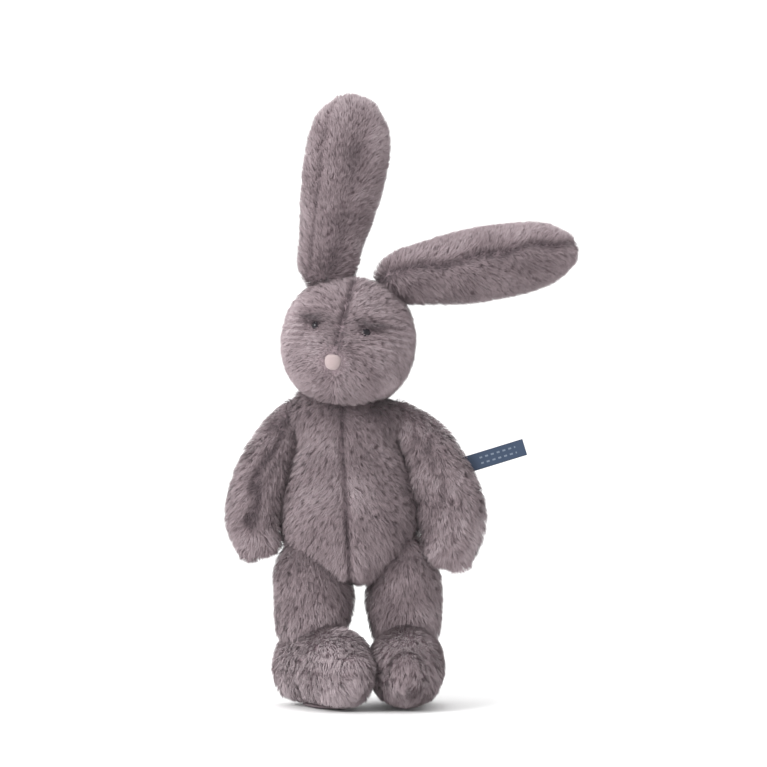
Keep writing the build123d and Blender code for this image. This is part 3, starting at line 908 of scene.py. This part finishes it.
triangles = 0
for number, (name, form) in enumerate(forms.items()):
    backing, grid = sew(form, backing_cloth)
    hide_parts(STUFFING[name])
    attach(backing, name)
    cloth = Cloth(grid)
    hairs = grow(cloth, STYLES[name], SEED + number)
    keep = np.ones(len(hairs["tone"]), bool)
    shrink = np.ones(len(keep))
    for other in NEIGHBOURS[name]:
        keep &= forms[other].outside(hairs["root"]) > -0.0005
        shrink = np.where(forms[other].outside(hairs["tip"]) < 0.0005, np.minimum(shrink, 0.55), shrink)
    points = hairs["root"][:, None] + (hairs["points"] - hairs["root"][:, None]) * shrink[:, None, None]
    grid_points = grid.reshape(-1, 3)
    panel_of = nearest_panel(grid_points, PANELS[name]).reshape(grid.shape[:2])
    i = np.clip(np.round(hairs["down"] * cloth.rows).astype(int), 0, cloth.rows)
    j = np.round((hairs["turn"] % 1) * cloth.columns).astype(int)
    own = panel_of[i, j]
    for k, panel in enumerate(PANELS[name]):
        mine = keep & (own == k)
        made = hair_mesh(panel.replace("_panel", "_pile"), points[mine], hairs["tone"][mine], pile)
        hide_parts(panel)
        attach(made, name)
        triangles += mine.sum() * 5
        print(made.name, mine.sum(), "hairs")
    print(name, round(cloth.area_mm2), "square mm of cloth")
print("pile triangles", triangles)


# %% [markdown]
# The eyes are safety eyes: a dark domed button on a shank that goes through the cloth. Turned on a
# lathe, it is a half circle spun round its own axis, so it is worked out in the same way.

# %% Eyes
def spun(name, profile, origin, axis, material, around=40):
    """A solid spun round an axis: a list of (radius, height) with a zero radius at both ends."""
    profile = np.array(profile, float)
    side = unit(np.cross(axis, X + 0.3 * Z))
    other = np.cross(axis, side)
    angle = np.arange(around) / around * 2 * pi
    ring = (np.cos(angle)[:, None] * side + np.sin(angle)[:, None] * other)
    body = profile[1:-1]
    points = origin + body[:, 1][:, None, None] * axis + body[:, 0][:, None, None] * ring[None]
    ends = origin + profile[[0, -1], 1][:, None] * axis
    vertices = np.concatenate([ends[:1], points.reshape(-1, 3), ends[1:]])
    return mesh_object(name, vertices, outward(vertices, grid_faces(len(body), around)), material)


eye_plastic = plain_material("eye_plastic", linear(20, 13, 22), 0.22, Coat_Weight=0.25, Coat_Roughness=0.04,
                             Specular_IOR_Level=0.25)


def shank_line(side):
    """The middle of an eye's washer, which its shank passes through, and the way the eye looks."""
    washer = f"eye_washer_{side}"
    through, axis = middle_of(washer), main_direction([washer])[2]
    return through, axis * np.sign((middle_of(f"eye_{side}") - through) @ axis)


for side in ("left", "right"):
    node = f"eye_{side}"
    through, axis = shank_line(side)
    from_washer = panel_edges([node]).reshape(-1, 3) - through
    reach = from_washer @ axis
    radius = np.linalg.norm(from_washer - reach[:, None] * axis, axis=1).max()
    middle = through + axis * (reach.max() - radius)
    bend = np.linspace(0, pi / 2, 14)
    dome = [(radius * cos(t), radius * sin(t)) for t in bend[:-1]] + [(0.0, radius)]
    shank_end = reach.min() - reach.max() + radius
    back = [(0.0, shank_end), (1.0 * MM, shank_end), (1.0 * MM, -0.8 * MM), (radius * 0.92, -0.8 * MM),
            (radius, -0.4 * MM)]
    eye = spun(f"eye_{side}_dome", back + dome, middle, axis, eye_plastic)
    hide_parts(node)
    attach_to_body(eye, "head")
    print(eye.name, "is", round(2 * radius * 1000, 2), "mm across")


# %% [markdown]
# The nose is a small pad of short pale cloth, a rounded triangle that is broad at the top.

# %% Nose
def nose_pad():
    """A flattened ball whose width narrows downwards, as a grid with poles at top and bottom."""
    low, high = (np.array(corner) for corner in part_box("nose"))
    size = (high - low) / 2
    rings, around = 26, 36
    down = np.linspace(0, pi, rings + 2)[1:-1]
    angle = np.arange(around) / around * 2 * pi
    tall = np.cos(down) * np.abs(np.cos(down)) ** -0.15
    narrowing = 1.0 + 0.16 * np.cos(down)
    wide = np.abs(np.sin(down)) ** 0.75 * narrowing
    a = wide[:, None] * np.cos(angle) * size[0] * 0.96
    f = wide[:, None] * np.sin(angle) * size[1] * 0.95
    b = np.broadcast_to((tall * size[2] * 0.98)[:, None], a.shape)
    middle = (low + high) / 2
    points = (middle + a[..., None] * eye_line + f[..., None] * -head_back + b[..., None] * head_up)
    poles = middle + np.array([[1.0], [-1.0]]) * size[2] * 0.98 * head_up
    vertices = np.concatenate([poles[:1], points.reshape(-1, 3), poles[1:]])
    return vertices, outward(vertices, grid_faces(rings, around))


nose_cloth = plain_material("nose_cloth", linear(160, 144, 144), 0.9, Sheen_Weight=0.2)
nose = mesh_object("nose_pad", *nose_pad(), nose_cloth)
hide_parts("nose")
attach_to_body(nose, "head")


# %% [markdown]
# The tab is one strip of woven ribbon, folded in half with its two ends caught in the arm's side
# seam. Its edges are bound, and two plain lines of stitches are woven down it.

# %% Ribbon tab
def ribbon_points():
    """The folded strip: along it, out on one face, round the fold and back on the other, as a grid (along,
    across) of places, with the distance travelled along it and the strip's width."""
    points = panel_edges(["ribbon_tab"]).reshape(-1, 3)
    root = joint_at("tab_flap")
    up = unit(next(j for j in frame["joints"] if j["name"] == "tab_flap")["axis"])
    out = np.cross(Y, up)
    through = np.cross(out, up)
    local = points - root
    reach = (local @ out).max() - 0.0004
    wide = np.ptp(local @ up)
    centre = ((local @ up).max() + (local @ up).min()) / 2 * up
    level = (local @ through).mean()
    gap = 0.00042
    leg = np.linspace(-0.006, reach - gap, 30)
    bend = np.linspace(-pi / 2, pi / 2, 9)[1:-1]
    along = np.concatenate([leg, reach - gap + gap * np.cos(bend), leg[::-1]])
    side = np.concatenate([np.full(30, -gap), gap * np.sin(bend), np.full(30, gap)])
    wave = 0.0006 * np.sin(np.clip(along / reach, 0, 1) * 5.2)
    across = np.linspace(-0.5, 0.5, 17) * wide
    grid = (root + centre + along[:, None, None] * out + (side + level + wave)[:, None, None] * through
            + across[None, :, None] * up)
    return grid, np.concatenate([[0], np.cumsum(np.hypot(np.diff(along), np.diff(side)))]), wide


def ribbon_material():
    """Navy weave with two lines of paler stitches: the map runs along the strip (u) and across it (v)."""
    shader = Shader("ribbon", Roughness=0.5, Sheen_Weight=0.2)
    place = shader.node("ShaderNodeUVMap", {"uv_map": "OFBake"})
    parts = shader.node("ShaderNodeSeparateXYZ", None, place)
    along, across = parts, Value(shader, parts.socket.node.outputs[1])
    stitch = shader.node("ShaderNodeMath", {"operation": "PINGPONG"}, along * 44.0, 1.0) > 0.5
    from_fold = shader.node("ShaderNodeMath", {"operation": "PINGPONG"}, along, 0.5)
    from_middle = shader.node("ShaderNodeMath", {"operation": "ABSOLUTE"}, across - 0.5)
    line = shader.node("ShaderNodeMath", {"operation": "COMPARE"}, from_middle, 0.17, 0.05)
    on_line = line * stitch
    middle = shader.node("ShaderNodeMath", {"operation": "COMPARE"}, from_fold, 0.29, 0.14)
    edge = from_middle > 0.44
    body = shader.node("ShaderNodeMix", {"data_type": "RGBA"}, on_line * middle * 0.75, out=2)
    for number, colour in ((6, linear(37, 55, 80)), (7, linear(118, 130, 146))):
        body.socket.node.inputs[number].default_value = (*colour, 1.0)
    whole = shader.node("ShaderNodeMix", {"data_type": "RGBA"}, edge * 0.6, out=2)
    shader.tree.links.new(body.socket, whole.socket.node.inputs[6])
    whole.socket.node.inputs[7].default_value = (*linear(27, 42, 66), 1.0)
    shader.feed("Base Color", whole)
    return shader.material


def ribbon_tab():
    """The strip as quads, with its map, and a little thickness from a modifier that is applied."""
    grid, travelled, wide = ribbon_points()
    rows, columns = grid.shape[:2]
    k = (np.arange(rows - 1)[:, None] * columns + np.arange(columns - 1)).ravel()
    faces = np.stack([k, k + 1, k + columns + 1, k + columns], axis=1)
    tab = mesh_object("ribbon_tab_strip", grid.reshape(-1, 3), faces.tolist(), ribbon_material())
    u = np.repeat(travelled / travelled[-1], columns)
    v = np.tile(np.linspace(0, 1, columns), rows)
    layer = tab.data.uv_layers.new(name="OFBake")
    layer.data.foreach_set("uv", np.stack([u, v], axis=1)[faces.ravel()].astype(np.float32).ravel())
    thick = tab.modifiers.new("thickness", "SOLIDIFY")
    thick.thickness, thick.offset = 0.00028, 0
    solid = bpy.data.meshes.new_from_object(tab.evaluated_get(bpy.context.evaluated_depsgraph_get()))
    tab.modifiers.clear()
    tab.data = solid
    return tab, travelled[-1], wide


tab, tab_length, tab_width = ribbon_tab()
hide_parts("ribbon_tab")
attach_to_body(tab, "tab")
print("ribbon", round(tab_length * 1000), "by", round(tab_width * 1000, 1), "mm flat")


# %% [markdown]
# Under each foot is a flat sole of the same cloth. Out of sight are a lens-shaped bag of pellets in
# the seat, which weights the toy, and a spring washer on each eye's shank.

# %% Soles, pellet bag and washers
def cushion(name, low, high, direction, material, power=2.6):
    """A flat rounded pad that fills a box, its long side along `direction`: a ball whose sections
    and outline are fuller than an ellipse."""
    low, high = np.array(low), np.array(high)
    side = np.cross(direction, Z)
    rings, around = 20, 56
    down = np.linspace(0, pi, rings + 2)[1:-1]
    angle = np.arange(around) / around * 2 * pi
    cosine, sine = np.cos(angle), np.sin(angle)
    out = np.sin(down)[:, None] ** (2 / power)
    tall = np.sign(np.cos(down)) * np.abs(np.cos(down)) ** (2 / power)
    size = (high - low) / 2
    a = out * np.sign(cosine) * np.abs(cosine) ** (2 / power)
    b = out * np.sign(sine) * np.abs(sine) ** (2 / power)
    reach = np.abs(direction) @ size, np.abs(side) @ size
    points = ((low + high) / 2 + a[..., None] * direction * reach[0] + b[..., None] * side * reach[1]
              + (tall * size[2])[:, None, None] * Z)
    poles = (low + high) / 2 + np.array([[1.0], [-1.0]]) * size[2] * Z
    vertices = np.concatenate([poles[:1], points.reshape(-1, 3), poles[1:]])
    return mesh_object(name, vertices, outward(vertices, grid_faces(rings, around)), material)


sole_cloth = plain_material("sole_cloth", linear(122, 109, 113), 0.9)
bag_cloth = plain_material("bag_cloth", linear(225, 222, 214), 0.85)
washer_plastic = plain_material("washer_plastic", linear(205, 205, 202), 0.4)
for side in ("left", "right"):
    node = f"foot_{side}_sole"
    points = panel_edges([node]).reshape(-1, 3)
    way = forms[f"foot_{side}"].along
    middle, across = points.mean(axis=0), np.cross(way, Z)
    run, width = (points - middle) @ way, (points - middle) @ across
    centre = middle + way * (run.max() + run.min()) / 2 + across * (width.max() + width.min()) / 2
    reach = np.array([np.ptp(run) / 2 * 0.62, np.ptp(width) / 2 * 0.66])
    # the pad is made square to the world and then turned with the foot
    flat_box = (np.array([-reach[1], -reach[0], 0.0003]), np.array([reach[1], reach[0], 0.0030]))
    sole = cushion(f"foot_{side}_sole_pad", *flat_box, -Y, sole_cloth)
    turned = vertices_of(sole)
    turned = (centre * [1, 1, 0] + turned[:, :1] * across - turned[:, 1:2] * way + turned[:, 2:] * Z)
    sole.data.vertices.foreach_set("co", turned.ravel())
    sole.data.update()
    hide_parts(node)
    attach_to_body(sole, f"leg_{side}")

    node = f"eye_washer_{side}"
    middle, axis = shank_line(side)
    half = 0.55 * MM
    washer = spun(f"eye_{side}_washer", [(0.0, -half * 0.2), (1.15 * MM, -half * 0.2), (1.3 * MM, -half),
                                         (4.4 * MM, -half), (4.9 * MM, 0.0), (4.4 * MM, half),
                                         (1.3 * MM, half), (1.15 * MM, half * 0.2), (0.0, half * 0.2)],
                  middle, axis, washer_plastic)
    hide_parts(node)
    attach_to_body(washer, "head")

bag = cushion("pellet_bag_cloth", *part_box("pellet_bag"), -Y, bag_cloth, power=2.1)
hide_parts("pellet_bag")
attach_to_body(bag, "torso")


# %% [markdown]
# The light is soft and comes from all round, with a large lamp above and in front. The floor is a
# pale sheet that curves up behind, so there is no line where it ends.

# %% Floor and light
def sweep_sheet():
    """A strip that runs level, bends up through a quarter circle and goes on upright."""
    bend = np.linspace(0, pi / 2, 24)
    y = np.concatenate([[-3.0], 1.2 + 0.8 * np.sin(bend), [2.0]])
    z = np.concatenate([[0.0], 0.8 - 0.8 * np.cos(bend), [4.0]])
    left = np.stack([np.full(len(y), -4.0), y, z], axis=1)
    right = left * [-1, 1, 1]
    vertices = np.stack([left, right], axis=1).reshape(-1, 3)
    k = np.arange(len(y) - 1) * 2
    return vertices, np.stack([k, k + 1, k + 3, k + 2], axis=1).tolist()


paper = plain_material("paper", (0.93, 0.93, 0.93), 0.9)
sheet = mesh_object("backdrop", *sweep_sheet(), paper)


def lamp(name, place, target, size, power):
    """A square soft lamp, turned to face a point."""
    data = bpy.data.lights.new(name, "AREA")
    data.size, data.energy = size, power
    made = bpy.data.objects.new(name, data)
    made.location = place
    way = unit(np.array(target) - np.array(place))
    made.rotation_euler = (np.arccos(-way[2]), 0, np.arctan2(way[1], way[0]) - pi / 2)
    bpy.context.scene.collection.objects.link(made)
    return made


world = bpy.data.worlds.new("studio")
world.use_nodes = True
world.node_tree.nodes["Background"].inputs[0].default_value = (1, 1, 1, 1)
world.node_tree.nodes["Background"].inputs[1].default_value = 1.0
bpy.context.scene.world = world
lamp("key", (-1.5, -1.2, 1.1), (0, 0, 0.2), 0.9, 34)
lamp("top", (-0.1, 0.1, 1.8), (0, 0, 0.1), 1.2, 12)
bpy.context.scene.view_settings.view_transform = "Standard"
